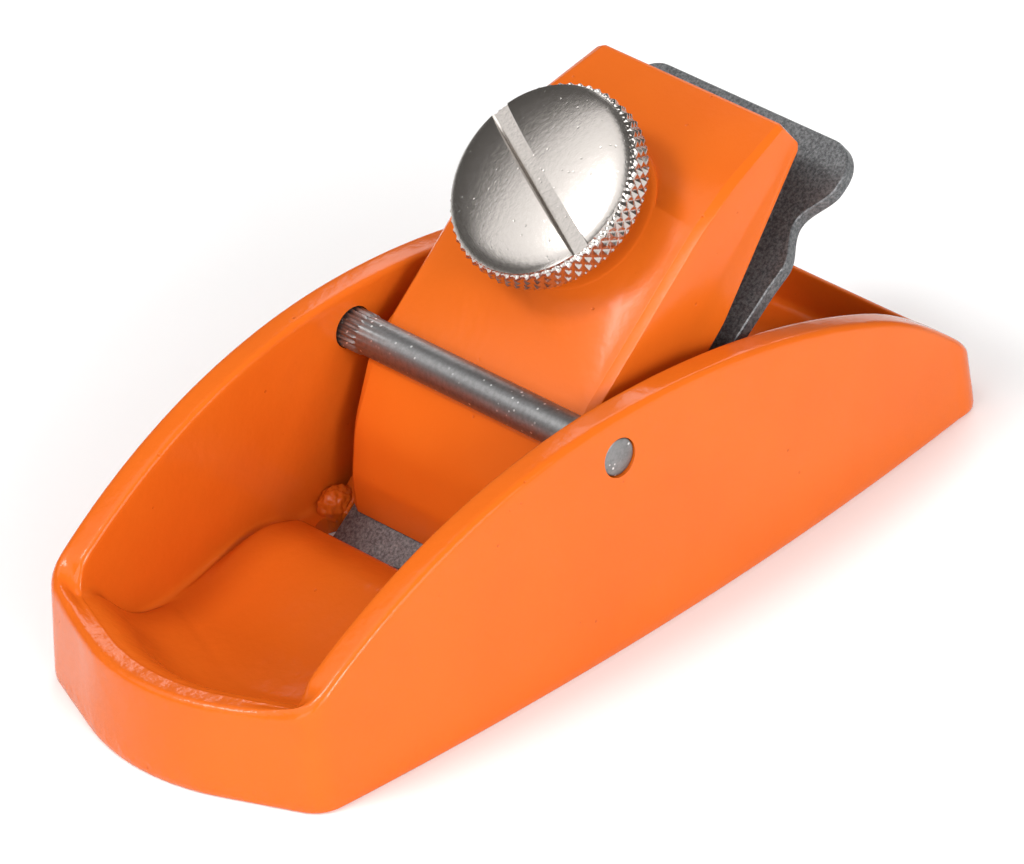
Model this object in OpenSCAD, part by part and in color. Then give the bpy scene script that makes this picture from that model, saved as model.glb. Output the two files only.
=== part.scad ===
// Miniature block plane: cast body, cross pin, lever cap, thumbscrew and blade.
// Millimetres. +X runs forward to the toe, +Y to the left side, +Z up.
// The origin is on the sole, half way across and 44.45 mm behind the toe.

/* [Body] */
// Length from heel to toe
body_len = 87.9; // [87.4:0.1:88.6]
// Width across the sole at its widest
body_w = 37.9; // [37.6:0.1:39]
// Height of the cheeks at their peak
cheek_h = 21.9; // [21.7:0.1:22.6]
// Where the cheeks peak, forward of the origin
cheek_x = 3; // [2:0.5:4]
// Radius of the cheek's arc towards the toe
toe_arc_r = 60; // [57:1:62]
// Radius of the cheek's arc towards the heel
heel_arc_r = 76; // [74:1:78]
// Thickness of the cheeks
wall = 2.9; // [2.6:0.1:3]
// How far each cheek leans in over its full height
lean = 1.3; // [1:0.05:1.4]
// Height of the low wall at the toe
lip_h = 8.9; // [8:0.1:9.5]
// Thickness of the sole under the wells
sole_t = 2.2; // [1.8:0.1:2.4]
// Height of the hump in front of the mouth
hump_h = 4.9; // [4.4:0.1:5.2]

/* [Mouth and bed] */
// Front edge of the mouth
mouth_front = 12.1; // [11.9:0.1:12.6]
// Back edge of the mouth in the sole
mouth_back = 7.4; // [7:0.1:7.6]
// Width of the mouth, over its rounded ends
mouth_w = 28.7; // [28:0.1:29]
// Slope of the bed in degrees
bed_angle = 35.2; // [35:0.1:35.4]
// Thickness of the sloping bed slab
bed_t = 3.2; // [2.8:0.1:3.6]
// Upper end of the bed
bed_top_x = -17; // [-17.5:0.5:-16]
// Width over the two rails at the front of the bed
rail_w = 30.6; // [29.6:0.1:31]
// Upper end of the rails that locate the blade
rail_top_x = -8; // [-9:0.5:-4]

/* [Blade] */
// Width of the blade
blade_w = 25.8; // [25.2:0.1:26]
// Thickness of the blade
blade_t = 1.3; // [1.2:0.05:1.4]
// Length of the blade along its slope
blade_len = 51.5; // [50.5:0.1:52]
// Angle of the ground bevel in degrees
bevel_angle = 25; // [22:1:30]
// Height of the cutting edge above the sole
edge_lift = 0.1; // [0.1:0.05:0.3]
// Width across the waist below the blade's head
waist_w = 22.8; // [22.4:0.1:24]
// Width of the blade's head
head_w = 26.4; // [26:0.1:27]

/* [Lever cap] */
// Width of the lever cap
cap_w = 25; // [24.4:0.1:25.2]
// Width of the cap across its upper end
cap_end_w = 22.8; // [20:0.1:23]
// Gap between the cap's nose and the blade
nose_gap = 0.06; // [0.04:0.01:0.1]

/* [Cross pin] */
// Pin radius
pin_r = 1.75; // [1.7:0.01:1.78]
// Radius of the splined end
spline_r = 1.95; // [1.9:0.01:2]
// Pin position forward of the origin
pin_x = 3.4; // [3.3:0.05:3.5]
// Pin height above the sole
pin_z = 18; // [17.9:0.05:18.1]
// Radial clearance of the cap's seat round the pin
pin_gap = 0.06; // [0.04:0.01:0.08]

/* [Thumbscrew] */
// Radius over the knurled rim
knob_r = 9.3; // [8.8:0.1:9.3]
// Thickness of the knurled rim
knob_t = 2.7; // [2.6:0.1:3.1]
// Gap between the cap's face and the rim
knob_gap = 3.6; // [3.2:0.1:3.7]
// Height of the domed face above the rim
dome_h = 1.4; // [1:0.1:1.6]
// Radius of the screw over its thread
thread_r = 2.4; // [2.35:0.01:2.42]
// Radius of the threaded land in the cap
land_r = 2.5; // [2.49:0.01:2.5]
// Width of the slot across the domed face
slot_w = 1.7; // [1.5:0.1:1.9]
// Depth of the slot
slot_d = 1.3; // [1:0.1:1.5]
// Angle of the slot from the cross direction in degrees
slot_turn = 27; // [0:1:90]

/* [Hidden] */
eps = 0.01;
toe_x = 44.45;
stern_x = toe_x - body_len;
wide_x = 2.7;
toe_r = 22;
toe_facet_y = 8.2;
toe_facet = 0.41;
heel_round = 5;
bed_tan = tan(bed_angle);
edge_x = 10.72;
bed_play = 0.04;
rail_play = 0.15;
slab_half_w = 16.5;
screw_tilt = 38.7;
screw_x = -10.44;
screw_z = 28.92;
cap_pts = [[1.2, 19.6], [-14.7, 32.35], [-24.75, 35.1], [-27.2, 31.6], [-13.5, 19.0]];

// Height of the blade's upper face at x
function face_z(x) = bed_tan * (edge_x - x);
// Height of the bed under the blade at x
function bed_z(x) = face_z(x) - (blade_t + bed_play) / cos(bed_angle);
// Half width of the sole at x
function half_w(x) = body_w / 2 - (x > wide_x ? 0.00135 : 0.00157) * pow(x - wide_x, 2);
// Point on a curve that starts at a, bends at b and ends at c
function bend(a, b, c, t) = (1 - t) * (1 - t) * a + 2 * t * (1 - t) * b + t * t * c;
// Axis of the thumbscrew, away from the cap
screw_n = [sin(screw_tilt), 0, cos(screw_tilt)];
// Distance down the screw's axis from the cap's face to the blade
screw_len = (screw_z - face_z(screw_x)) / (screw_n[2] + bed_tan * screw_n[0]);

// One side of the sole's outline, from the toe to the heel
function facet_x(y) = toe_x - (toe_r - sqrt(toe_r * toe_r - toe_facet_y * toe_facet_y))
    - toe_facet * (y - toe_facet_y);
corner_y = 17.2;
corner_x = facet_x(corner_y);
heel_x = heel_round + stern_x;
side = concat(
    [for (i = [0:6]) let (y = i * toe_facet_y / 6)
        [toe_x - (toe_r - sqrt(toe_r * toe_r - y * y)), y]],
    [for (t = [0:0.25:1]) bend([facet_x(corner_y - 1.9), corner_y - 1.9], [corner_x, corner_y],
        [corner_x - 2.2, half_w(corner_x - 2.2)], t)],
    [for (i = [1:16]) let (x = corner_x - 2.2 + i * (heel_x - corner_x + 2.2) / 16) [x, half_w(x)]],
    [for (a = [18:9:90]) let (w = half_w(heel_x), y = w * pow(cos(a), 0.62))
        [heel_x - heel_round * pow(1 - pow(y / w, 3), 1 / 3), y]]
);
outline = concat(side, [for (i = [len(side) - 2:-1:1]) [side[i][0], -side[i][1]]]);

// A side view drawn in X and Z, made a solid of width w across Y
module across(w) {
    translate([0, w / 2, 0]) rotate([90, 0, 0]) linear_extrude(w) children();
}

// The sole's outline drawn in by t, with the cheeks' lean
module boat(t, z0, h) {
    s = lean / cheek_h;
    full = [toe_x - t, body_w / 2 - t];
    k0 = [(full[0] - s * z0) / full[0], (full[1] - s * z0) / full[1]];
    k1 = [(full[0] - s * (z0 + h)) / full[0], (full[1] - s * (z0 + h)) / full[1]];
    translate([0, 0, z0]) linear_extrude(h, scale = [k1[0] / k0[0], k1[1] / k0[1]])
        scale(k0) offset(delta = -t) polygon(outline);
}

// Height of the cheeks' arch at x, which drops faster near the heel
function arch(x) = let (r = x > cheek_x ? toe_arc_r : heel_arc_r)
    cheek_h - r + sqrt(r * r - pow(x - cheek_x, 2)) - 0.0155 * pow(max(0, -30 - x), 2);

// The cheeks' arched side view, with the low wall at the toe
module side_view() {
    lip_x = cheek_x + sqrt(pow(toe_arc_r, 2) - pow(toe_arc_r - cheek_h + lip_h, 2));
    polygon(concat(
        [[stern_x - 1, -1], [toe_x + 2, -1], [toe_x + 2, lip_h]],
        [for (i = [0:32]) let (x = lip_x + i * (stern_x - 1 - lip_x) / 32) [x, arch(x)]]
    ));
}

// Side view of the open space above the floor
module wells() {
    hump_x = mouth_front + 5;
    polygon(concat(
        [[50, 60], [50, lip_h + 0.6], [toe_x - 1.2, lip_h - 0.05], [toe_x - 3.6, lip_h - 0.35]],
        [for (t = [0:0.2:1]) bend([toe_x - 4.6, lip_h - 1.6], [toe_x - 6.2, sole_t + 0.3],
            [toe_x - 11, sole_t + 0.1], t)],
        [[toe_x - 17, sole_t]],
        [for (a = [0:15:180]) [toe_x - 17 - (toe_x - 17 - hump_x) * a / 180,
            sole_t + (hump_h - sole_t) * (1 - cos(a)) / 2]],
        [for (t = [0.25:0.25:1]) bend([hump_x, hump_h], [hump_x - 1.6, hump_h], [mouth_front, 2], t)],
        [[mouth_front, sole_t - 0.4], [stern_x - 5, sole_t - 0.4], [stern_x - 5, 60]]
    ));
}

// A band of height t along the bed's slope, drawn from low_x to top_x, lift above the bed
module bed_band(low_x, top_x, lift, t) {
    up = lift / cos(bed_angle);
    down = (lift - t) / cos(bed_angle);
    polygon([[low_x, bed_z(low_x) + up], [top_x, bed_z(top_x) + up],
        [top_x - t * sin(bed_angle), bed_z(top_x) + up - t * cos(bed_angle)],
        [low_x, bed_z(low_x) + down]]);
}

// Plan of one front corner of the bed, from y0 to y1, with its outer corner rounded
module rail_plan(y0, y1, r) {
    polygon(concat([[-9.3, y0], [9.4, y0]],
        [for (a = [0:15:90]) [9.4 - r + r * cos(a), y1 - r + r * sin(a)]], [[-9.3, y1]]));
}

// Clears the sole just behind the mouth, where the blade's edge passes through it
module edge_notch() {
    top = sole_t - 0.4;
    back_x = edge_x - (top + (blade_t + bed_play) / cos(bed_angle)) / bed_tan - 1;
    front_x = mouth_back + 0.8;
    across(blade_w + 4 * rail_play + 0.6) polygon([[back_x, bed_z(back_x) - 0.02],
        [front_x, bed_z(front_x) - 0.02], [front_x, top + 1.5], [back_x, top + 1.5]]);
}

module frog() {
    // sloping slab between the cheeks
    intersection() {
        across(2 * slab_half_w) bed_band(12, bed_top_x, 0, bed_t);
        translate([-40, -20, 0.5]) cube([43, 40, 30]);
    }
    // front of the slab, clear of the cheeks
    intersection() {
        across(rail_w) bed_band(12, -4, 0, bed_t);
        union() {
            translate([0, 0.2 - rail_w / 2, 0.3]) cube([7.6, rail_w - 0.4, 30]);
        }
    }
    // rails on both sides of the blade
    for (m = [0, 1]) mirror([0, m, 0]) intersection() {
        across(60) bed_band(11, rail_top_x, blade_t, blade_t + 1.5);
        translate([0, 0, 0.25]) linear_extrude(30)
            rail_plan(blade_w / 2 + rail_play, rail_w / 2, 2);
    }
}

module mouth_cut() {
    r = (mouth_front - mouth_back) / 2;
    x = mouth_back + r;
    for (m = [-1, 1]) translate([x, m * (mouth_w / 2 - r), -1]) cylinder(h = 30, r = r, $fn = 64);
    translate([mouth_back, r - mouth_w / 2, -1]) cube([2 * r, mouth_w - 2 * r, 30]);
}

module plane_body() {
    color([0.95, 0.38, 0.10]) difference() {
        union() {
            difference() {
                intersection() {
                    boat(0, 0, 26);
                    across(60) side_view();
                }
                intersection() {
                    boat(wall, sole_t - 0.4, 28);
                    across(60) wells();
                }
                edge_notch();
            }
            frog();
        }
        mouth_cut();
        translate([pin_x, 0, pin_z]) rotate([-90, 0, 0]) cylinder(h = 30, r = pin_r, $fn = 64);
        translate([pin_x, 0, pin_z]) rotate([90, 0, 0]) cylinder(h = 30, r = spline_r, $fn = 64);
    }
}

module cross_pin() {
    y1 = body_w / 2 - lean * pin_z / cheek_h - 0.1;
    color([0.72, 0.71, 0.68]) translate([pin_x, 0, pin_z]) rotate([-90, 0, 0]) {
        translate([0, 0, -12.8]) cylinder(h = y1 + 12.8, r = pin_r, $fn = 64);
        translate([0, 0, -y1]) cylinder(h = y1 - 12.8 + eps, r = spline_r, $fn = 64);
    }
}

// Places a child on the cap's face, with Z along the screw
module at_screw() {
    translate([screw_x, 0, screw_z]) rotate([0, screw_tilt, 0]) children();
}

module lever_cap() {
    nose = face_z(7.6) + nose_gap / cos(bed_angle);
    pad = face_z(3.6) + nose_gap / cos(bed_angle);
    color([0.93, 0.36, 0.09]) difference() {
        union() {
            intersection() {
                across(60) polygon(concat(
                    cap_pts,
                    [[2.6, face_z(2.6) + 0.9], [3.6, pad], [7.6, nose], [7.75, 6.2], [6.9, 10.9],
                     [4.2, pin_z - 2.05], [2.6, pin_z]]
                ));
                linear_extrude(60) polygon([
                    [9, -cap_w / 2], [9, cap_w / 2], [-14.7, cap_w / 2], [-24.75, cap_end_w / 2],
                    [-27.4, cap_end_w / 2 - 0.4], [-27.4, 0.4 - cap_end_w / 2], [-24.75, -cap_end_w / 2],
                    [-14.7, -cap_w / 2]
                ]);
            }
            at_screw() translate([0, 0, -2]) cylinder(h = 2.2, r = 7.6, $fn = 96);
        }
        translate([pin_x, 40, pin_z]) rotate([90, 0, 0]) cylinder(h = 80, r = pin_r + pin_gap, $fn = 96);
        at_screw() translate([0, 0, -4]) cylinder(h = 10, r = land_r, $fn = 64);
        at_screw() translate([0, 0, -20]) cylinder(h = 16 + eps, r = land_r + 0.35, $fn = 64);
    }
}

module thumb_screw() {
    g = knob_gap;
    k = knob_t;
    tip = -screw_len + 0.1;
    color([0.80, 0.79, 0.77]) at_screw() difference() {
        rotate_extrude($fn = 128) polygon(concat(
            [[0, tip], [1.7, tip], [thread_r, tip + 0.8], [thread_r, 0.9], [4, 0.9], [4, g - 0.4],
             [knob_r - 1.5, g - 0.2], [knob_r - 0.35, g], [knob_r, g + 0.35], [knob_r, g + k - 0.2],
             [knob_r - 0.2, g + k]],
            [for (a = [0:10:90]) [(knob_r - 0.25) * cos(a), g + k + dome_h * sin(a)]]
        ));
        translate([0, 0, g + k + dome_h - slot_d + 5]) rotate([0, 0, -slot_turn])
            cube([slot_w, 40, 10], center = true);
    }
}

// The blade lies in X and Y here, with its upper face at Z = 0 and its edge at X = 0
module blade_shape() {
    bevel_len = blade_t / tan(bevel_angle);
    hw = blade_w / 2;
    half = concat(
        [[0, hw], [-35, hw]],
        [for (t = [0:0.1:1]) [-39.3 - 8.4 * t, hw + (head_w / 2 - hw) * (t + 1) / 2
            - (hw + 0.2 - waist_w / 2) * (1 - cos(360 * t)) / 2]],
        [for (a = [0:15:90]) [3 - blade_len - 3 * sin(a), head_w / 2 - 3 + 3 * cos(a)]]
    );
    difference() {
        translate([0, 0, -blade_t]) linear_extrude(blade_t)
            polygon(concat(half, [for (i = [len(half) - 1:-1:0]) [half[i][0], -half[i][1]]]));
        rotate([90, 0, 0]) translate([0, 0, -30]) linear_extrude(60)
            polygon([[0, 0], [-bevel_len, -blade_t], [-bevel_len, -blade_t - 1], [1, -blade_t - 1], [1, 0]]);
    }
}

module blade() {
    x = edge_x - edge_lift / bed_tan;
    color([0.45, 0.45, 0.46]) translate([x, 0, edge_lift]) rotate([0, bed_angle, 0]) blade_shape();
}

plane_body();
cross_pin();
lever_cap();
thumb_screw();
blade();
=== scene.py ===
"""Miniature block plane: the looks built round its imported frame.

Every piece is drawn in millimetres in the frame's own axes and made metres at the end.
+X runs forward to the toe, +Y to the plane's left side and +Z up from the sole.
"""

import math

import bmesh
import bpy
from mathutils import Matrix, Vector


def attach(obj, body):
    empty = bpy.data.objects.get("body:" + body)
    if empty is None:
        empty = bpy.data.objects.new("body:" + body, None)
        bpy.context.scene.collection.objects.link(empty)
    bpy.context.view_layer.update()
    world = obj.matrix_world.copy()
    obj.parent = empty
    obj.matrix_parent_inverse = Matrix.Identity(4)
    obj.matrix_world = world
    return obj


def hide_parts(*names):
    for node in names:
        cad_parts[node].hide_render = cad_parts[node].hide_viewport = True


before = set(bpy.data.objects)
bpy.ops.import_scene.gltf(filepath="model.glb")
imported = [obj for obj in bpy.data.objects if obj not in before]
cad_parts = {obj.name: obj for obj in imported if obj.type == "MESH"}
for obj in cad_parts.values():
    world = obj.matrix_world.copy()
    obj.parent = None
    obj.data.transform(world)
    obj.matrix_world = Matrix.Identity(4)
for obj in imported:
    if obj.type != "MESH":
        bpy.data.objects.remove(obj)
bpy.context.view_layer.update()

bl_info = {
    "name": "Miniature block plane",
    "version": (1, 0, 0),
    "blender": (4, 5, 0),
    "location": "3D View > Sidebar > Block plane",
    "description": "Builds the pieces of a miniature block plane round its packed frame",
    "category": "Object",
}

# Plan of the body
TOE_X = 44.45
STERN_X = -43.45
BODY_W = 37.9
WIDE_X = 2.7
TOE_R = 22.0
TOE_SWEEP = math.radians(21.9)
HEEL_ROUND = 5.0
LEAN = 1.3 / 21.9
# Side view of the body
CHEEK_H = 21.9
CHEEK_X = 3.0
TOE_ARC_R = 60.0
HEEL_ARC_R = 76.0
# Bed and mouth
BED_ANGLE = math.radians(35.2)
BED_TAN = math.tan(BED_ANGLE)
EDGE_X = 10.72
MOUTH_FRONT = 12.1
MOUTH_BACK = 7.4
MOUTH_W = 28.2
BED_PLAY = 0.04
# Cross pin and screw
PIN = Vector((3.4, 0.0, 18.0))
SCREW_TILT = math.radians(38.7)
SCREW = Vector((-10.44, 0.0, 28.92))
SCREW_AXIS = Vector((math.sin(SCREW_TILT), 0.0, math.cos(SCREW_TILT)))
SCREW_DOWN = Vector((math.cos(SCREW_TILT), 0.0, -math.sin(SCREW_TILT)))
LAND_R = 2.5
BOSS_R = 7.6
# Head of the screw
HEAD_GAP = 3.6
RIM_H = 2.7
DOME_H = 1.4
SLOT_W = 1.7
SLOT_D = 1.3
SLOT_TURN = math.radians(27.0)
THREAD_PITCH = 0.8
# Blade
BLADE_LEN = 51.5
BLADE_W = 25.8
WAIST_W = 22.8
BLADE_HEAD_W = 26.4
GROUND_ANGLE = math.radians(25)
# Studio, in metres, and the camera, in millimetres
STUDIO_AIM = (0, 0, 0.01)
CAMERA_AZIMUTH = math.radians(48.659)
CAMERA_LIFT = math.radians(32.591)
CAMERA_ROLL = math.radians(-5.302)
CAMERA_AWAY = 872.913
CAMERA_SHIFT = (-0.50378, 9.72883)
MM = 1000.0


# ---------------------------------------------------------------- settings


class BlockPlaneSizes(bpy.types.PropertyGroup):
    """Sizes of the plane's pieces"""

    wall: bpy.props.FloatProperty(
        name="Wall", description="Thickness of the cheeks", default=0.0029, unit="LENGTH"
    )
    rim_round: bpy.props.FloatProperty(
        name="Rim rounding", description="Radius along the edges of the rim", default=0.00065, unit="LENGTH"
    )
    lip: bpy.props.FloatProperty(
        name="Toe wall", description="Height of the low wall at the toe", default=0.0089, unit="LENGTH"
    )
    floor: bpy.props.FloatProperty(
        name="Sole", description="Thickness of the sole under the toe well", default=0.0022, unit="LENGTH"
    )
    hump: bpy.props.FloatProperty(
        name="Hump", description="Height of the hump in front of the mouth", default=0.0049, unit="LENGTH"
    )
    blade_thick: bpy.props.FloatProperty(
        name="Blade", description="Thickness of the blade", default=0.0013, unit="LENGTH"
    )
    pin_radius: bpy.props.FloatProperty(
        name="Pin", description="Radius of the cross pin", default=0.00175, unit="LENGTH"
    )
    knob_radius: bpy.props.FloatProperty(
        name="Screw head", description="Radius over the knurled rim", default=0.0093, unit="LENGTH"
    )
    knurl_count: bpy.props.IntProperty(
        name="Knurl", description="Number of diamonds round the rim", default=56
    )
    knurl_depth: bpy.props.FloatProperty(
        name="Knurl depth", description="Depth of the knurl's grooves", default=0.00028, unit="LENGTH"
    )


class BlockPlaneColours(bpy.types.PropertyGroup):
    """Colours of the plane's finishes"""

    enamel: bpy.props.FloatVectorProperty(
        name="Enamel", description="Orange enamel in full light", subtype="COLOR", size=3,
        default=(0.66, 0.124, 0.0100),
    )
    enamel_deep: bpy.props.FloatVectorProperty(
        name="Deep enamel", description="Orange enamel where it lies thick", subtype="COLOR", size=3,
        default=(0.61, 0.098, 0.0068),
    )
    iron: bpy.props.FloatVectorProperty(
        name="Bare iron", description="Ground iron of the sole", subtype="COLOR", size=3,
        default=(0.42, 0.41, 0.40),
    )
    blade: bpy.props.FloatVectorProperty(
        name="Blade steel", description="Granular steel of the blade", subtype="COLOR", size=3,
        default=(0.062, 0.065, 0.068),
    )
    blade_cut: bpy.props.FloatVectorProperty(
        name="Cut edge", description="Bright cut edge of the blade", subtype="COLOR", size=3,
        default=(0.55, 0.56, 0.57),
    )
    plate: bpy.props.FloatVectorProperty(
        name="Plate", description="Bright plate of the screw", subtype="COLOR", size=3,
        default=(0.52, 0.485, 0.455),
    )
    pin: bpy.props.FloatVectorProperty(
        name="Pin steel", description="Drawn steel of the pin", subtype="COLOR", size=3,
        default=(0.27, 0.27, 0.27),
    )
    paper: bpy.props.FloatVectorProperty(
        name="Floor", description="Pale floor under the plane", subtype="COLOR", size=3,
        default=(0.96, 0.96, 0.96),
    )


def sizes():
    """The sizes, in millimetres where they are lengths."""
    group = bpy.context.scene.block_plane_sizes
    names = (
        "wall", "rim_round", "lip", "floor", "hump",
        "blade_thick", "pin_radius", "knob_radius", "knurl_depth",
    )
    return {n: getattr(group, n) * MM for n in names}


def colour(name):
    """A colour from the panel, ready for a shader's socket."""
    return (*getattr(bpy.context.scene.block_plane_colours, name), 1.0)


# ---------------------------------------------------------------- shader building


class Signal:
    """A shader socket that takes part in arithmetic, adding its Math nodes."""

    def __init__(self, finish, socket):
        self.finish = finish
        self.socket = socket

    def math(self, operation, *terms):
        return self.finish.node("ShaderNodeMath", {"operation": operation}, dict(enumerate(terms)))

    def __add__(self, other):
        return self.math("ADD", self, other)

    __radd__ = __add__

    def __sub__(self, other):
        return self.math("SUBTRACT", self, other)

    def __rsub__(self, other):
        return self.math("SUBTRACT", other, self)

    def __mul__(self, other):
        return self.math("MULTIPLY", self, other)

    __rmul__ = __mul__

    def __truediv__(self, other):
        return self.math("DIVIDE", self, other)

    def __pow__(self, other):
        return self.math("POWER", self, other)

    def step(self, low, high):
        """0 below low, 1 above high and smooth between them."""
        return self.finish.node(
            "ShaderNodeMapRange", {"interpolation_type": "SMOOTHSTEP"},
            {"Value": self, "From Min": low, "From Max": high},
        )


class Finish:
    """A material under construction."""

    def __init__(self, name):
        self.material = bpy.data.materials.new(name)
        self.material.use_nodes = True
        self.tree = self.material.node_tree
        self.tree.nodes.clear()
        self.place = self.node("ShaderNodeTexCoord", output="Object")

    def node(self, kind, settings=None, sockets=None, output=0):
        """Adds a node: its settings first, then the values or links of its sockets."""
        made = self.tree.nodes.new(kind)
        for key, value in (settings or {}).items():
            setattr(made, key, value)
        for key, value in (sockets or {}).items():
            if isinstance(value, Signal):
                self.tree.links.new(value.socket, made.inputs[key])
            else:
                made.inputs[key].default_value = value
        return Signal(self, made.outputs[output]) if made.outputs else None

    def axis(self, name):
        """One coordinate of the place on the piece, in metres."""
        return self.node("ShaderNodeSeparateXYZ", None, {0: self.place}, output=name)

    def noise(self, scale, detail=2.0, rough=0.5, place=None):
        return self.node(
            "ShaderNodeTexNoise", None,
            {"Vector": place or self.place, "Scale": scale, "Detail": detail, "Roughness": rough},
        )

    def pits(self, scale, size, place=None):
        """1 inside small round pits, about one in each cell."""
        cell = self.node(
            "ShaderNodeTexVoronoi", {"feature": "F1"}, {"Vector": place or self.place, "Scale": scale}
        )
        return 1 - cell.step(size * 0.5, size)

    def stretched(self, amounts):
        """The place, squeezed or drawn out along each axis."""
        return self.node("ShaderNodeMapping", None, {"Vector": self.place, "Scale": amounts})

    def blend(self, amount, first, second):
        """A colour between two colours."""
        return self.node(
            "ShaderNodeMix", {"data_type": "RGBA"}, {0: amount, 6: first, 7: second}, output=2
        )

    def bump(self, height, distance, strength=1.0, under=None):
        sockets = {"Height": height, "Distance": distance, "Strength": strength}
        if under is not None:
            sockets["Normal"] = under
        return self.node("ShaderNodeBump", None, sockets)

    def surface(self, sockets):
        shader = self.node("ShaderNodeBsdfPrincipled", None, sockets)
        self.node("ShaderNodeOutputMaterial", None, {0: shader})
        return self.material


def enamel_finish(name, peel):
    """Glossy orange enamel. peel is how rough the casting shows through."""
    f = Finish(name)
    height = f.axis("Z")
    thick = f.noise(55.0, 3.0, 0.55)
    grain = f.noise(5200.0, 2.0, 0.6)
    depth = thick.step(0.35, 0.75) * 0.5 + (grain - 0.5) * 0.35 * peel
    body = f.blend(depth, colour("enamel"), colour("enamel_deep"))
    specks = f.pits(420.0, 0.07) * f.noise(130.0).step(0.50, 0.62)
    body = f.blend(specks * 0.35, body, (0.35, 0.045, 0.004, 1.0))
    bare = 1 - height.step(0.00003, 0.00006) if peel > 0.5 else specks * 0.0
    base = f.blend(bare, body, colour("iron"))
    waves = f.noise(260.0, 2.0, 0.5)
    fine = f.noise(1500.0, 2.0, 0.55)
    relief = f.bump(waves, 0.00022 * peel, 0.5)
    relief = f.bump(fine, 0.00004, 0.35 + 0.3 * peel, relief)
    relief = f.bump(1 - specks, 0.0001, 0.6, relief)
    if peel > 0.5:
        ahead = f.axis("X")
        low = ahead.step(0.012, 0.034) * (1 - height.step(0.0004, 0.0030))
        lip = ahead.step(0.036, 0.040) * height.step(0.0074, 0.0084)
        relief = f.bump(f.noise(620.0, 3.0, 0.6), 0.0005, low * 0.5 + lip * 0.18, relief)
    return f.surface({
        "Base Color": base,
        "Metallic": bare * 0.9,
        "Roughness": 0.25 - peel * 0.1 + thick * 0.06 + bare * 0.2,
        "Specular IOR Level": 0.24,
        "Normal": relief,
    })


def blade_finish(name):
    """Granular ground steel, in lighter and darker patches."""
    f = Finish(name)
    grain = f.noise(3600.0, 3.0, 0.7)
    patches = f.noise(240.0, 3.0, 0.6)
    tone = f.blend((grain - 0.38) * 2.4 + (patches - 0.5) * 0.5, colour("blade"), (0.25, 0.255, 0.26, 1.0))
    relief = f.bump(grain, 0.00004, 0.7)
    return f.surface({
        "Base Color": tone,
        "Metallic": 0.5,
        "Roughness": 0.38 + patches * 0.16,
        "Normal": relief,
    })


def plate_finish(name):
    """Bright plate over a turned surface, with micro-pits."""
    f = Finish(name)
    fine = f.noise(2600.0, 3.0, 0.6)
    pits = f.pits(1500.0, 0.16) * f.noise(420.0).step(0.42, 0.62)
    tone = f.blend(pits * 0.3, colour("plate"), (0.45, 0.44, 0.42, 1.0))
    relief = f.bump(fine, 0.00003, 0.35)
    relief = f.bump(1 - pits, 0.00003, 0.6, relief)
    return f.surface({
        "Base Color": tone,
        "Metallic": 1.0,
        "Roughness": 0.16 + fine * 0.14,
        "Normal": relief,
    })


def pin_finish(name):
    """Plain drawn steel, satin and gritty."""
    f = Finish(name)
    grit = f.noise(2400.0, 3.0, 0.7)
    drawn = f.noise(1800.0, 2.0, 0.5, f.stretched((1.0, 0.06, 1.0)))
    specks = f.pits(1300.0, 0.2) * f.noise(500.0).step(0.45, 0.6)
    tone = f.blend((grit - 0.4) * 1.4, colour("pin"), (0.12, 0.12, 0.12, 1.0))
    tone = f.blend(specks, tone, (0.80, 0.80, 0.79, 1.0))
    relief = f.bump(drawn, 0.00003, 0.35)
    relief = f.bump(grit, 0.00003, 0.5, relief)
    return f.surface({
        "Base Color": tone,
        "Metallic": 1.0,
        "Roughness": 0.34 + grit * 0.2,
        "Normal": relief,
    })


def paper_finish(name):
    """Smooth pale paper under the plane."""
    f = Finish(name)
    tooth = f.noise(900.0, 2.0, 0.5)
    return f.surface({
        "Base Color": colour("paper"),
        "Roughness": 0.8,
        "Specular IOR Level": 0.2,
        "Normal": f.bump(tooth, 0.00002, 0.2),
    })


# ---------------------------------------------------------------- modelling helpers


def smooth(t):
    t = min(max(t, 0.0), 1.0)
    return t * t * (3 - 2 * t)


def mix(a, b, t):
    return a + (b - a) * t


def bend(a, b, c, t):
    """A point on the curve that leaves a, turns at b and reaches c."""
    return tuple((1 - t) ** 2 * p + 2 * t * (1 - t) * q + t * t * r for p, q, r in zip(a, b, c))


def start_piece(name, ring):
    """A flat face with its corners on the ring, left selected in edit mode."""
    bpy.ops.object.select_all(action="DESELECT")
    bpy.ops.mesh.primitive_circle_add(vertices=len(ring), radius=1, fill_type="NGON")
    piece = bpy.context.object
    piece.name = piece.data.name = name
    bpy.ops.object.mode_set(mode="EDIT")
    bpy.ops.mesh.select_mode(type="FACE")
    bpy.ops.mesh.select_all(action="SELECT")
    mesh = bmesh.from_edit_mesh(piece.data)
    for vertex, point in zip(next(iter(mesh.faces)).verts, ring):
        vertex.co = point
    bmesh.update_edit_mesh(piece.data)
    return piece


def pull_through(piece, rings):
    """Extrudes the selected end face from each ring to the next. The first ring is where it stands."""
    for old, new in zip(rings, rings[1:]):
        places = {tuple(round(c, 4) for c in point): i for i, point in enumerate(old)}
        bpy.ops.mesh.extrude_region_move()
        mesh = bmesh.from_edit_mesh(piece.data)
        face = next(f for f in mesh.faces if f.select)
        for vertex in face.verts:
            vertex.co = new[places[tuple(round(c, 4) for c in vertex.co)]]
        bmesh.update_edit_mesh(piece.data)


def close_piece(merge=0.0):
    """Leaves edit mode with doubles merged and the faces pointing outwards."""
    bpy.ops.mesh.select_all(action="SELECT")
    if merge:
        bpy.ops.mesh.remove_doubles(threshold=merge)
    bpy.ops.mesh.normals_make_consistent(inside=False)
    bpy.ops.object.mode_set(mode="OBJECT")


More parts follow.
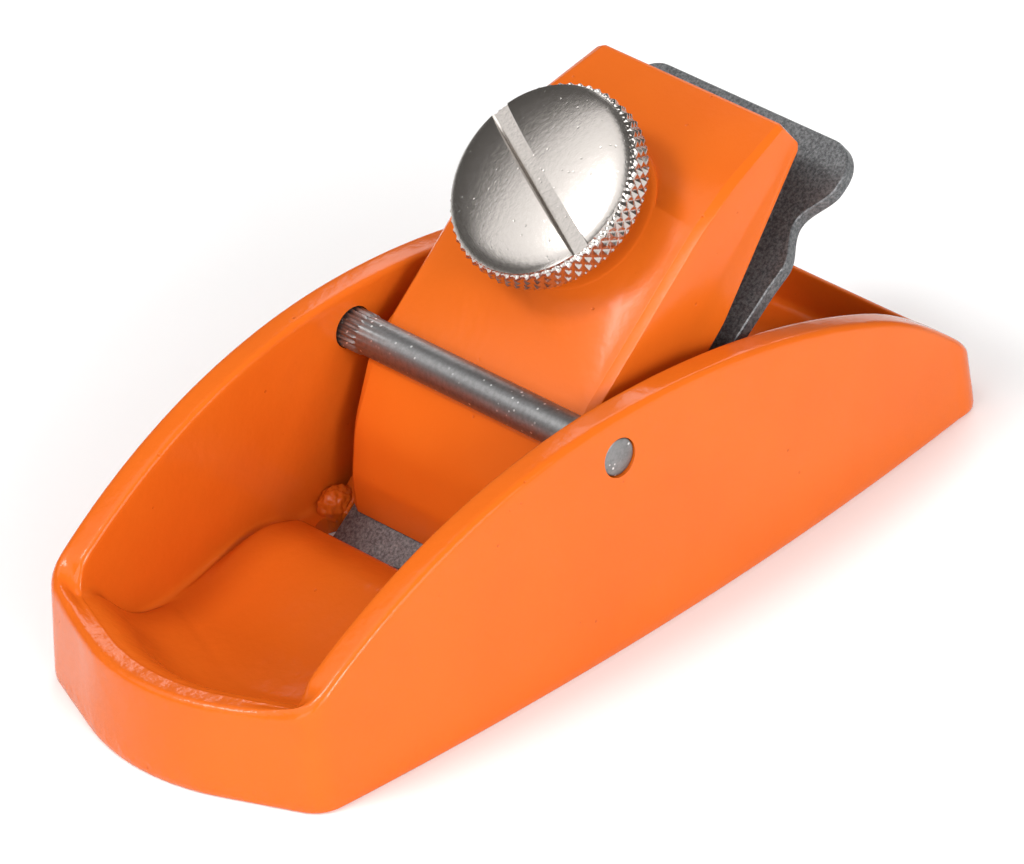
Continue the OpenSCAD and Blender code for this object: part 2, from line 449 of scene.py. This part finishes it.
def lofted(name, rings, merge=0.0):
    """A closed solid through a stack of rings."""
    rings = [[Vector(p) for p in ring] for ring in rings]
    for ring in rings:
        for point in ring:
            point[:] = Vector(tuple(round(c, 4) for c in point))
    piece = start_piece(name, rings[0])
    pull_through(piece, rings)
    close_piece(merge)
    return piece


def only(piece):
    bpy.ops.object.select_all(action="DESELECT")
    piece.select_set(True)
    bpy.context.view_layer.objects.active = piece


def apply(piece, kind, **settings):
    """Adds a modifier with its settings and applies it."""
    only(piece)
    modifier = piece.modifiers.new(kind.title(), kind)
    for key, value in settings.items():
        setattr(modifier, key, value)
    bpy.ops.object.modifier_apply(modifier=modifier.name)


def combine(piece, tool, operation):
    """Joins or cuts the piece with a tool, which is then removed."""
    apply(piece, "BOOLEAN", operation=operation, solver="EXACT", object=tool)
    bpy.data.objects.remove(tool)


def join(piece, other):
    """Puts another mesh into the piece as it is."""
    only(piece)
    other.select_set(True)
    bpy.ops.object.join()


def mend(piece):
    """Merges the slivers that cutting leaves and closes what is left open."""
    only(piece)
    bpy.ops.object.mode_set(mode="EDIT")
    bpy.ops.mesh.select_mode(type="VERT")
    bpy.ops.mesh.select_all(action="SELECT")
    bpy.ops.mesh.remove_doubles(threshold=0.0008)
    bpy.ops.mesh.dissolve_degenerate(threshold=0.0005)
    bpy.ops.mesh.select_all(action="SELECT")
    bpy.ops.mesh.fill_holes(sides=12)
    bpy.ops.mesh.normals_make_consistent(inside=False)
    bpy.ops.object.mode_set(mode="OBJECT")


def finish_piece(piece, material, node, body, angle):
    """Makes the piece metres, smooths it, ties it to its body and hides its CAD node."""
    only(piece)
    piece.scale = (1 / MM,) * 3
    bpy.ops.object.transform_apply(location=True, rotation=True, scale=True)
    bpy.ops.object.shade_smooth_by_angle(angle=math.radians(angle))
    piece.data.materials.clear()
    piece.data.materials.append(material)
    for polygon in piece.data.polygons:
        polygon.material_index = 0
    if not piece.data.polygons:
        raise RuntimeError(f"{piece.name} has no faces")
    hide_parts(node)
    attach(piece, body)


def round_ring(centre, across, along, radius, count):
    """A ring of points round a centre."""
    return [
        Vector(centre)
        + Vector(across) * (radius * math.cos(math.tau * k / count))
        + Vector(along) * (radius * math.sin(math.tau * k / count))
        for k in range(count)
    ]


def rod(name, centre, y0, y1, radius, count=64):
    """A plain round bar along Y, for cutting bores."""
    return lofted(name, [
        round_ring((centre.x, y, centre.z), (1, 0, 0), (0, 0, 1), radius, count) for y in (y0, y1)
    ])


def drawn_in(profile, amounts):
    """The profile with each of its corners moved inwards, so that the sides there come in by its amount."""
    count = len(profile)
    area = sum(
        profile[j][0] * profile[(j + 1) % count][1] - profile[(j + 1) % count][0] * profile[j][1]
        for j in range(count)
    )
    side = 1 if area > 0 else -1
    moved = []
    for j in range(count):
        a, b, c = (Vector(profile[k % count]) for k in (j - 1, j, j + 1))
        first, second = (b - a).normalized(), (c - b).normalized()
        inward = Vector((-first.y, first.x)) * side
        middle = (inward + Vector((-second.y, second.x)) * side).normalized()
        moved.append(tuple(b + middle * (amounts[j] / max(middle.dot(inward), 0.5))))
    return moved


def rounded(profile, radii, steps=5):
    """The profile with each corner turned on a curve that starts a radius away from it."""
    out = []
    for j, (corner, radius) in enumerate(zip(profile, radii)):
        if not radius:
            out.append(tuple(corner))
            continue
        corner = Vector(corner)
        before = corner + (Vector(profile[j - 1]) - corner).normalized() * radius
        after = corner + (Vector(profile[(j + 1) % len(profile)]) - corner).normalized() * radius
        out += [bend(before, corner, after, k / steps) for k in range(steps + 1)]
    return out


def face_z(x):
    """Height of the blade's upper face."""
    return BED_TAN * (EDGE_X - x)


def on_screw(r, a, h):
    """A point on the screw: radius, angle and height above the cap's face."""
    return SCREW + SCREW_DOWN * (r * math.cos(a)) + Vector((0, r * math.sin(a), 0)) + SCREW_AXIS * h


def screw_ring(r, h, count):
    """A ring of points round the screw."""
    return [on_screw(r, math.tau * k / count, h) for k in range(count)]


# ---------------------------------------------------------------- plane body


def half_w(x):
    """Half width of the sole."""
    return BODY_W / 2 - (0.00135 if x > WIDE_X else 0.00157) * (x - WIDE_X) ** 2


def arch(x):
    """Height of the cheeks."""
    r = TOE_ARC_R if x > CHEEK_X else HEEL_ARC_R
    return CHEEK_H - r + math.sqrt(max(r * r - (x - CHEEK_X) ** 2, 0)) - 0.0155 * max(0, -30 - x) ** 2


def rim_z(x, lip):
    """Height of the rim, where the cheeks run down into the low wall at the toe."""
    over = arch(x) - lip if x > 0 else 99
    return lip + 0.5 * (over + math.sqrt(over * over + 0.5)) if over < 50 else arch(x)


def half_plan(toe, side, heel, corner):
    """Half of the body's outline, from the middle of the toe to the middle of the heel,
    drawn in by an amount at the toe, along the side and at the heel."""
    r, middle = TOE_R - toe, TOE_X - TOE_R
    points = [(middle + r * math.cos(TOE_SWEEP * k / 9), r * math.sin(TOE_SWEEP * k / 9)) for k in range(9)]
    start = (middle + r * math.cos(TOE_SWEEP), r * math.sin(TOE_SWEEP))
    x = 38.0
    for _ in range(20):
        y = half_w(x) - side
        x = start[0] - (y - start[1]) * math.tan(TOE_SWEEP)
    before = (x + corner * math.sin(TOE_SWEEP), y - corner * math.cos(TOE_SWEEP))
    after = (x - corner, half_w(x - corner) - side)
    points += [(mix(start[0], before[0], k / 8), mix(start[1], before[1], k / 8)) for k in range(8)]
    points += [bend(before, (x, y), after, k / 8) for k in range(8)]
    deep = max(2.2, HEEL_ROUND - heel)
    turn_x = STERN_X + heel + deep
    wide = half_w(turn_x) - side
    for k in range(72):
        x = mix(after[0], turn_x, k / 72)
        points.append((x, half_w(x) - side))
    turn = 0.7937
    for k in range(8):
        u = turn * k / 8
        points.append((turn_x - deep * u, wide * (1 - u ** 3) ** (1 / 3)))
    for k in range(16):
        v = turn * (1 - k / 15)
        points.append((turn_x - deep * (1 - v ** 3) ** (1 / 3), wide * v))
    return points


def plan(toe, side=None, heel=None, corner=2.0):
    """The whole outline, drawn in."""
    side = toe if side is None else side
    heel = side if heel is None else heel
    half = half_plan(toe, side, heel, corner)
    return half + [(x, -y) for x, y in half[-2:0:-1]]


def toe_share(i, count):
    """1 round the toe, 0 along the cheeks and the heel."""
    i = min(i, count - i)
    return smooth((26 - i) / 9)


def floor_z(x, y, s):
    """Height of the floor inside the body: the toe well, the hump and the sole behind the mouth."""
    low, high = s["floor"], s["hump"]
    hump_x, well_x = MOUTH_FRONT + 5, TOE_X - 17
    if x < MOUTH_FRONT:
        return low - 0.4
    if x >= hump_x:
        up = min(max((well_x - x) / (well_x - hump_x), 0), 1)
        z = low + (high - low) * (1 - math.cos(math.pi * up)) / 2
        z += 0.1 * smooth((x - well_x) / 6)
    else:
        t = 0.0
        for _ in range(30):
            f = (1 - t) ** 2 * hump_x + 2 * t * (1 - t) * (hump_x - 1.6) + t * t * MOUTH_FRONT - x
            g = -2 * (1 - t) * hump_x + 2 * (1 - 2 * t) * (hump_x - 1.6) + 2 * t * MOUTH_FRONT
            t = min(max(t - f / g, 0), 1)
        z = (1 - t * t) * high + t * t * 3.1
    gutter = smooth((abs(y) - 14.25) / 0.55) * 0.55
    return z - max(z - low, 0) * gutter


def body_shell(s):
    """The casting's skin: sole, cheeks, rim, inner walls and floor."""
    wall, rim, lip = s["wall"], s["rim_round"], s["lip"]
    rings = []

    def ring(flat, height):
        """Adds a ring. height gives z from a point's place and index."""
        inner = [Vector(p) for p in flat(0)]
        shift = [Vector(p) - q for p, q in zip(flat(0.5), inner)]
        count = len(inner)
        points = []
        for i, (p, d) in enumerate(zip(inner, shift)):
            z = height(p.x, p.y, i, count)
            q = p + d * (2 * LEAN * z)
            points.append((q.x, q.y, height(q.x, q.y, i, count)))
        rings.append(points)

    def rim_step(a):
        """How far in and how far down a rim's rounding is, at an angle in degrees."""
        return rim * (1 - math.cos(math.radians(a))), rim * (1 - math.sin(math.radians(a)))

    for inset, z in ((1.4, 0.0), (0.5, 0.0), (0.14, 0.1), (0.0, 0.42)):
        ring(lambda e, t=inset: plan(t + e), lambda x, y, i, n, z=z: z)
    for share in (0.3, 0.6, 0.9):
        ring(lambda e: plan(e), lambda x, y, i, n, f=share: mix(0.42, rim_z(x, lip) - rim, f))
    for a in (0, 22.5, 45, 67.5, 90):
        c, v = rim_step(a)
        ring(lambda e, c=c: plan(c + e), lambda x, y, i, n, v=v: rim_z(x, lip) - v)
    for a in (90, 67.5, 45, 22.5, 0):
        c, v = rim_step(a)
        ring(
            lambda e, c=c: plan(2.2 - c * 0.9 + e, wall - c + e, wall - c + e, 1.0),
            lambda x, y, i, n, v=v: mix(rim_z(x, lip) - v, lip - 0.03 - 0.2 * v, toe_share(i, n)),
        )
    fillet = 0.85

    # the toe wall rolls over and runs down in one long sweep: distance from the toe and height
    sweep = (
        (3.0, -0.42), (3.9, -1.0), (4.8, -1.85), (5.6, -2.85), (6.4, -3.85),
        (7.3, -4.75), (8.5, -5.55), (10.0, -6.15), (11.6, -6.5),
    )

    def inner_height(x, y, i, n, u, down, drop):
        """Height on the inner wall: down runs 0 to 1 along it, then u runs 0 to 1 round the fillet.
        drop is the height at the toe, from the lip."""
        side_z = floor_z(x, y, s) + fillet * (1 - math.sin(math.pi / 2 * u))
        side_z = mix(rim_z(x, lip) - rim, side_z, down)
        return mix(side_z, lip + drop, toe_share(i, n))

    for (toe, drop), (down, u) in zip(
        sweep, ((0.25, 0), (0.5, 0), (0.75, 0), (0.92, 0), (1, 0.15), (1, 0.4), (1, 0.6), (1, 0.8), (1, 1))
    ):
        side = wall + fillet * (1 - math.cos(math.pi / 2 * u))
        ring(
            lambda e, t=toe, w=side: plan(t + e, w + e, w + e, 1.2),
            lambda x, y, i, n, u=u, d=down, z=drop: inner_height(x, y, i, n, u, d, z),
        )
    edge = rings[-1]
    for k in range(1, 17):
        f = (k / 16) ** 1.25
        points = []
        for x, y, z in edge:
            spine = min(max(x, -33.0), 24.0)
            px, py = mix(x, spine, f), mix(y, 0, f)
            points.append((px, py, mix(z, floor_z(px, py, s), smooth(k / 2))))
        rings.append(points)
    return lofted("plane_body_detail", rings, merge=0.002)


def bed_line(x, lift, t):
    """Height of a face lift above the blade's bed."""
    return face_z(x) - (t + BED_PLAY) / math.cos(BED_ANGLE) + lift / math.cos(BED_ANGLE)


def bed_block(name, low_x, top_x, lift, thick, y0, y1, t, soft):
    """A slab along the bed's slope, with soft edges."""
    sin, cos = math.sin(BED_ANGLE), math.cos(BED_ANGLE)
    profile = [
        (low_x, bed_line(low_x, lift, t)),
        (top_x, bed_line(top_x, lift, t)),
        (top_x - thick * sin, bed_line(top_x, lift, t) - thick * cos),
        (low_x, max(bed_line(low_x, lift - thick, t), 0.6)),
    ]
    if profile[3][1] <= 0.6:
        profile.insert(3, (EDGE_X - 0.6 / BED_TAN - (t + BED_PLAY + thick - lift) / sin, 0.6))
    block = lofted(name, [[(x, y, z) for x, z in profile] for y in (y0, y1)])
    apply(block, "BEVEL", width=soft, segments=4, limit_method="ANGLE", angle_limit=math.radians(25))
    return block


def roughen(piece, grain, amount):
    """Gives a raw casting's uneven skin to a small block."""
    apply(piece, "REMESH", mode="VOXEL", voxel_size=grain)
    clouds = bpy.data.textures.new("casting", "CLOUDS")
    clouds.noise_scale = 0.55
    apply(piece, "DISPLACE", texture=clouds, texture_coords="LOCAL", strength=amount, mid_level=0.62)


def lump(sign):
    """The rough lump of iron at the foot of a rail."""
    bpy.ops.object.select_all(action="DESELECT")
    bpy.ops.mesh.primitive_ico_sphere_add(subdivisions=4, radius=1)
    piece = bpy.context.object
    piece.scale = (2.1, 1.35, 1.75)
    piece.location = (7.6, sign * 14.6, 2.05)
    bpy.ops.object.transform_apply(location=True, rotation=True, scale=True)
    roughen(piece, 0.16, 0.5)
    return piece


def mouth_tool():
    """A bar the shape of the mouth, a slot with round ends."""
    r = (MOUTH_FRONT - MOUTH_BACK) / 2
    x, y = MOUTH_BACK + r, MOUTH_W / 2 - r
    ring = [(x + r * math.cos(a), y + r * math.sin(a)) for a in (math.pi * k / 16 for k in range(17))]
    ring += [(2 * x - px, -py) for px, py in ring]
    return lofted("mouth_tool", [[(px, py, z) for px, py in ring] for z in (-2.0, 24.0)])


class MakeBody(bpy.types.Operator):
    """Make the cast body with its bed, rails, mouth and pin bores"""

    bl_idname = "block_plane.body"
    bl_label = "Body"

    def execute(self, context):
        s = sizes()
        t = s["blade_thick"]
        body = body_shell(s)
        apply(body, "SUBSURF", levels=1, render_levels=1, use_limit_surface=False)
        # room in the sole for the blade behind the mouth
        notch = [(4.9, bed_line(4.9, -0.05, t)), (8.2, bed_line(8.2, -0.05, t)), (8.2, 4.0), (4.9, 4.0)]
        notch_tool = lofted("notch", [[(x, y, z) for x, z in notch] for y in (-13.4, 13.4)])
        combine(body, notch_tool, "DIFFERENCE")
        bed = bed_block("bed", 3.0, -17.0, 0, 3.2, -16.6, 16.6, t, 0.4)
        combine(bed, bed_block("bed_front", 7.4, 2.0, 0, 3.0, -14.6, 14.6, t, 0.25), "UNION")
        for sign in (-1, 1):
            inner, outer = sign * 13.0, sign * 15.0
            rail = bed_block("rail", 9.3, -8.0, t, t + 1.8, min(inner, outer), max(inner, outer), t, 0.6)
            roughen(rail, 0.2, 0.3)
            combine(bed, rail, "UNION")
        combine(body, bed, "UNION")
        tool = mouth_tool()
        join(tool, rod("bore", PIN, 14, 30, s["pin_radius"] + 0.04))
        join(tool, rod("bore", PIN, -30, -14, 1.99))
        combine(body, tool, "DIFFERENCE")
        for sign in (-1, 1):
            combine(body, lump(sign), "UNION")
        mend(body)
        finish_piece(
            body, enamel_finish("cast enamel", 1.0), "plane_body", "body", 38
        )
        return {"FINISHED"}


# ---------------------------------------------------------------- lever cap


def cap_half_width(x):
    """Half width of the lever cap, which narrows past its bend and has small round corners."""
    wide = 12.5 - max(0.0, -14.7 - x) * 0.13
    return wide - 0.3 * max(0.0, (-25.6 - x) / 1.3) ** 2


class MakeLeverCap(bpy.types.Operator):
    """Make the lever cap with its pin seat, screw boss and screw hole"""

    bl_idname = "block_plane.lever_cap"
    bl_label = "Lever cap"

    def execute(self, context):
        s = sizes()
        lift = 0.06 / math.cos(BED_ANGLE)
        # each corner of the side view, its rounding, and how round the edges are there
        corners = [
            ((1.2, 19.6), 0, 1.0), ((-14.7, 32.35), 4.0, 0.9), ((-24.65, 34.92), 0.3, 0.4),
            ((-27.2, 31.6), 0.6, 0.3), ((-13.5, 19.0), 2.5, 0.3), ((2.6, face_z(2.6) + 0.9), 0.3, 0.2),
            ((3.6, face_z(3.6) + lift), 0.1, 0.15), ((7.6, face_z(7.6) + lift), 0.25, 0.4),
            ((7.75, 6.2), 0.5, 0.8), ((6.9, 10.9), 1.4, 0.8), ((4.2, PIN.z - 2.05), 0.1, 0.1),
            ((2.6, PIN.z), 0, 0.05),
        ]
        raw = [corner for corner, _, _ in corners]
        radii = [radius for _, radius, _ in corners]
        full = rounded(raw, radii, 6)

        def ring(side, shrink, back):
            """A ring across the cap, with its outline drawn in and standing back from the side face."""
            shape = rounded(drawn_in(raw, [shrink * share for _, _, share in corners]), radii, 6)
            return [(x, side * (cap_half_width(x0) - back), z) for (x, z), (x0, _) in zip(shape, full)]

        # a flat edge round each side face, itself turned a little where it begins and ends
        edge = 0.7
        turned = [(edge + 0.3, 0.0)] + [
            (edge * p, edge * q)
            for p, q in (
                (1, 0), (0.93, 0.015), (0.87, 0.07), (0.8, 0.13),
                (0.13, 0.8), (0.07, 0.87), (0.015, 0.93), (0, 1),
            )
        ]
        rings = [ring(-1, *step) for step in turned] + [ring(1, *step) for step in reversed(turned)]
        cap = lofted("lever_cap_detail", rings)
        boss = lofted("boss", [
            screw_ring(r, h, 96)
            for r, h in ((BOSS_R, -2.0), (BOSS_R, -0.05), (7.45, 0.06), (7.2, 0.13), (6.6, 0.16))
        ])
        combine(cap, boss, "UNION")
        combine(cap, rod("seat", PIN, -30, 30, s["pin_radius"] + 0.06, 96), "DIFFERENCE")
        for r, h0, h1 in ((LAND_R, -6.0, 9.0), (2.85, -24.0, -4.0)):
            combine(cap, lofted("hole", [screw_ring(r, h, 64) for h in (h0, h1)]), "DIFFERENCE")
        finish_piece(cap, enamel_finish("cap enamel", 0.35), "lever_cap", "lever_cap", 38)
        return {"FINISHED"}


# ---------------------------------------------------------------- cross pin


class MakePin(bpy.types.Operator):
    """Make the cross pin with its splined end"""

    bl_idname = "block_plane.pin"
    bl_label = "Cross pin"

    def execute(self, context):
        s = sizes()
        reach = BODY_W / 2 - LEAN * PIN.z - 0.1
        r, count, teeth = s["pin_radius"], 120, 20
        rings = []

        def add(y, radius, spline):
            rings.append([
                (PIN.x + q * math.cos(a), y, PIN.z + q * math.sin(a))
                for a, q in (
                    (a, radius + spline * (0.16 * max(math.cos(a * teeth), -0.4) - 0.02))
                    for a in (math.tau * k / count for k in range(count))
                )
            ])

        add(-reach, 1.5, 0)
        add(-reach + 0.2, r, 1)
        for k in range(1, 9):
            add(mix(-reach + 0.2, -13.1, k / 8), r, 1)
        add(-12.85, r, 0.35)
        add(-12.7, r, 0)
        for k in range(1, 9):
            add(mix(-12.7, reach - 0.25, k / 8), r, 0)
        add(reach - 0.08, r - 0.06, 0)
        add(reach, r - 0.22, 0)
        pin = lofted("cross_pin_detail", rings)
        finish_piece(pin, pin_finish("drawn steel"), "cross_pin", "body", 30)
        return {"FINISHED"}


# ---------------------------------------------------------------- thumbscrew


class MakeThumbscrew(bpy.types.Operator):
    """Make the thumbscrew with its thread, knurled rim, domed face and slot"""

    bl_idname = "block_plane.thumbscrew"
    bl_label = "Thumbscrew"

    def execute(self, context):
        s = sizes()
        gap, rim, dome = HEAD_GAP, RIM_H, DOME_H
        radius, depth = s["knob_radius"], s["knurl_depth"]
        diamonds = context.scene.block_plane_sizes.knurl_count
        count = diamonds * 8
        pitch = math.tau * radius / diamonds
        rings = []

        def add(r, h, knurl=0.0):
            ring = []
            for k in range(count):
                a = math.tau * k / count
                u, v = a * diamonds / math.tau, h / pitch * 0.62
                one = abs((u + v) % 1 - 0.5) * 2
                two = abs((u - v) % 1 - 0.5) * 2
                cut = depth * knurl * (1 - min(1 - one, 1 - two)) if knurl else 0.0
                ring.append(on_screw(r - cut, a, h))
            rings.append(ring)

        neck = ((2.0, 0.7), (3.7, 0.7), (4.0, 1.0), (4.0, gap - 0.45), (4.3, gap - 0.3))
        for r, h in neck + ((radius - 1.2, gap - 0.12),):
            add(r, h)
        add(radius - 0.35, gap, 0.3)
        add(radius - 0.15, gap + 0.1, 0.9)
        for k in range(25):
            add(radius, mix(gap + 0.22, gap + rim - 0.25, k / 24), 1.0)
        add(radius - 0.08, gap + rim - 0.1, 1.0)
        add(radius - 0.16, gap + rim - 0.02, 1.0)
        add(radius - 0.26, gap + rim + 0.02, 0.8)
        for k in range(1, 16):
            a = math.pi / 2 * k / 16
            r, h = (radius - 0.3) * math.cos(a), gap + rim + 0.03 + (dome - 0.03) * math.sin(a)
            add(r, h, 0.7 if k == 1 else 0.0)
        add(0.15, gap + rim + dome)
        head = lofted("thumb_screw_detail", rings)

        cut = []
        along = Vector((0, math.cos(SLOT_TURN), 0)) + SCREW_DOWN * math.sin(SLOT_TURN)
        aside = SCREW_DOWN * math.cos(SLOT_TURN) - Vector((0, math.sin(SLOT_TURN), 0))
        deep = gap + rim + dome - SLOT_D
        for w, h in ((0.7, deep), (SLOT_W / 2, deep + 0.15), (SLOT_W / 2, deep + 6.0)):
            cut.append([
                SCREW + SCREW_AXIS * h + along * (15 * p) + aside * (w * q)
                for p, q in ((-1, -1), (1, -1), (1, 1), (-1, 1))
            ])
        combine(head, lofted("slot_tool", cut), "DIFFERENCE")

        reach = (SCREW.z - face_z(SCREW.x)) / (SCREW_AXIS.z + BED_TAN * SCREW_AXIS.x)
        tip = 0.1 - reach
        thread = []
        turns = 48
        levels = [tip + 0.001] + [tip + 0.4 + 0.1 * k for k in range(int((1.2 - tip - 0.4) / 0.1))]
        for n, h in enumerate(levels):
            ring = []
            for k in range(turns):
                a = math.tau * k / turns
                wave = abs(((h / THREAD_PITCH - k / turns) % 1) - 0.5) * 2
                r = 1.7 if n == 0 else min(2.02 + 0.38 * wave, 1.75 + (h - tip) * 0.7)
                ring.append(on_screw(r, a, h))
            thread.append(ring)
        combine(head, lofted("thread", thread), "UNION")
        finish_piece(head, plate_finish("bright plate"), "thumb_screw", "thumb_screw", 32)
        return {"FINISHED"}


# ---------------------------------------------------------------- blade


class MakeBlade(bpy.types.Operator):
    """Make the blade with its ground edge, waist and rounded head"""

    bl_idname = "block_plane.blade"
    bl_label = "Blade"

    def execute(self, context):
        t = sizes()["blade_thick"]
        length, wide, waist, head = BLADE_LEN, BLADE_W / 2, WAIST_W / 2, BLADE_HEAD_W / 2
        ground = t / math.tan(GROUND_ANGLE)
        half = [(0.0, wide), (ground, wide), (15.0, wide), (30.0, wide), (37.0, wide)]
        for k in range(21):
            u = k / 20
            half.append((
                39.3 + 8.4 * u,
                mix(wide, head, (u + 1) / 2) - (wide + 0.2 - waist) * (1 - math.cos(math.tau * u)) / 2,
            ))
        half += [
            (length - 3 + 3 * math.sin(math.radians(a)), head - 3 + 3 * math.cos(math.radians(a)))
            for a in range(0, 91, 9)
        ]
        outline = half + [(p, -q) for p, q in half[::-1]]
        edge = Vector((EDGE_X - 0.1 / BED_TAN, 0, 0.1))
        up = Vector((-math.cos(BED_ANGLE), 0, math.sin(BED_ANGLE)))
        out = Vector((math.sin(BED_ANGLE), 0, math.cos(BED_ANGLE)))
        soft = 0.1
        rings = []
        for inset, level in ((soft, -t), (0, soft - t), (0, -soft), (soft, 0.0)):
            shape = drawn_in(outline, [inset] * len(outline))
            ring = []
            for (p, q), (p0, _) in zip(shape, outline):
                p = max(p, -level * ground / t) if p0 < 0.01 else p
                ring.append(edge + up * p + Vector((0, q, 0)) + out * level)
            rings.append(ring)
        blade = lofted("blade_detail", rings)
        finish_piece(blade, blade_finish("blade steel"), "blade", "blade", 25)
        return {"FINISHED"}


# ---------------------------------------------------------------- stage


def soft_box(name, place, size, power):
    """A rectangular soft light at a place in metres, turned to the plane."""
    light = bpy.data.lights.new(name, "AREA")
    light.shape = "RECTANGLE"
    light.size, light.size_y = size
    light.energy = power
    lamp = bpy.data.objects.new(name, light)
    bpy.context.scene.collection.objects.link(lamp)
    lamp.location = place
    lamp.rotation_euler = (Vector(STUDIO_AIM) - Vector(place)).to_track_quat("-Z", "Y").to_euler()


class MakeStage(bpy.types.Operator):
    """Make the pale floor, the soft lights and the camera"""

    bl_idname = "block_plane.stage"
    bl_label = "Stage"

    def execute(self, context):
        bpy.ops.object.select_all(action="DESELECT")
        bpy.ops.mesh.primitive_plane_add(size=6.0, location=(0, 0, 0))
        floor = context.object
        floor.name = floor.data.name = "floor"
        floor.data.materials.append(paper_finish("pale paper"))

        world = bpy.data.worlds.new("studio")
        world.use_nodes = True
        back = world.node_tree.nodes["Background"]
        back.inputs["Color"].default_value = (1.0, 0.97, 0.93, 1.0)
        back.inputs["Strength"].default_value = 0.13
        context.scene.world = world
        context.scene.view_settings.view_transform = "Standard"

        # name, azimuth from the toe towards the left side, elevation, size and power
        for name, turn, rise, size, power in (
            ("key", -22, 56, (1.15, 1.05), 5.2),
            ("key core", -22, 55, (0.24, 0.22), 3.4),
            ("side", 78, 24, (1.10, 0.60), 8.0),
            ("side core", 74, 26, (0.22, 0.20), 3.2),
            ("front", 14, 14, (0.50, 0.40), 2.2),
            ("back", -150, 38, (0.60, 0.50), 3.0),
        ):
            a, e = math.radians(turn), math.radians(rise)
            place = Vector((math.cos(a) * math.cos(e), math.sin(a) * math.cos(e), math.sin(e)))
            soft_box(name, place, size, power)

        camera_data = bpy.data.cameras.new("camera")
        camera = bpy.data.objects.new("camera", camera_data)
        context.scene.collection.objects.link(camera)
        azimuth, lift, roll = CAMERA_AZIMUTH, CAMERA_LIFT, CAMERA_ROLL
        away = Vector((
            math.cos(azimuth) * math.cos(lift), math.sin(azimuth) * math.cos(lift), math.sin(lift)
        ))
        level = Vector((-math.sin(azimuth), math.cos(azimuth), 0))
        upright = away.cross(level)
        right = level * math.cos(roll) + upright * math.sin(roll)
        up = upright * math.cos(roll) - level * math.sin(roll)
        camera.location = (away * CAMERA_AWAY + right * CAMERA_SHIFT[0] + up * CAMERA_SHIFT[1]) / MM
        camera.rotation_euler = Matrix((right, up, away)).transposed().to_euler()
        camera_data.sensor_width = 36.0
        camera_data.lens = 354.9
        camera_data.clip_start, camera_data.clip_end = 0.05, 20.0
        context.scene.camera = camera
        return {"FINISHED"}


class BlockPlanePanel(bpy.types.Panel):
    """Lists the plane's pieces, sizes and colours"""

    bl_idname = "VIEW3D_PT_block_plane"
    bl_label = "Block plane"
    bl_space_type = "VIEW_3D"
    bl_region_type = "UI"
    bl_category = "Block plane"

    def draw(self, context):
        layout = self.layout
        for operator in OPERATORS:
            layout.operator(operator.bl_idname)
        for group in (context.scene.block_plane_sizes, context.scene.block_plane_colours):
            box = layout.box()
            for name in group.bl_rna.properties.keys():
                if name not in ("rna_type", "name"):
                    box.prop(group, name)


OPERATORS = (MakeStage, MakeBody, MakePin, MakeLeverCap, MakeThumbscrew, MakeBlade)
CLASSES = (BlockPlaneSizes, BlockPlaneColours, *OPERATORS, BlockPlanePanel)


def register():
    for cls in CLASSES:
        bpy.utils.register_class(cls)
    bpy.types.Scene.block_plane_sizes = bpy.props.PointerProperty(type=BlockPlaneSizes)
    bpy.types.Scene.block_plane_colours = bpy.props.PointerProperty(type=BlockPlaneColours)


def unregister():
    del bpy.types.Scene.block_plane_sizes
    del bpy.types.Scene.block_plane_colours
    for cls in reversed(CLASSES):
        bpy.utils.unregister_class(cls)


def main():
    register()
    bpy.ops.block_plane.stage()
    bpy.ops.block_plane.body()
    bpy.ops.block_plane.pin()
    bpy.ops.block_plane.lever_cap()
    bpy.ops.block_plane.thumbscrew()
    bpy.ops.block_plane.blade()


if __name__ == "__main__":
    main()
